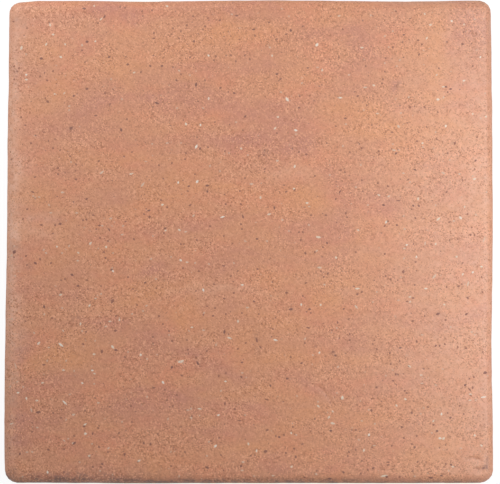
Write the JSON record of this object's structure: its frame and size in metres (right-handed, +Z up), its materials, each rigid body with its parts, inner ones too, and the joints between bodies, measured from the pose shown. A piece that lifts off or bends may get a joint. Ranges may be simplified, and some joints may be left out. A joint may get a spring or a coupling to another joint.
{
  "type": "field tile",
  "caption": "Square terracotta floor tile, pressed in one piece, with a gently waved outline, rounded corners, a pillowed edge round the worn face and a flat back.",
  "frame": {"origin": "middle of the tile's footprint, on the plane of its back", "axes": "+Z up, out of the worn face; +Y towards the far side and +X towards the right side of the tile, as it is looked down on in the picture"},
  "size_m": [0.3028, 0.2991, 0.0202],
  "materials": {
    "fired_clay": "matt fired terracotta with pale and dark grains and a faint sealed sheen"
  },
  "bodies": {
    "root": {"tile": "fired_clay"}
  },
  "joints": []
}
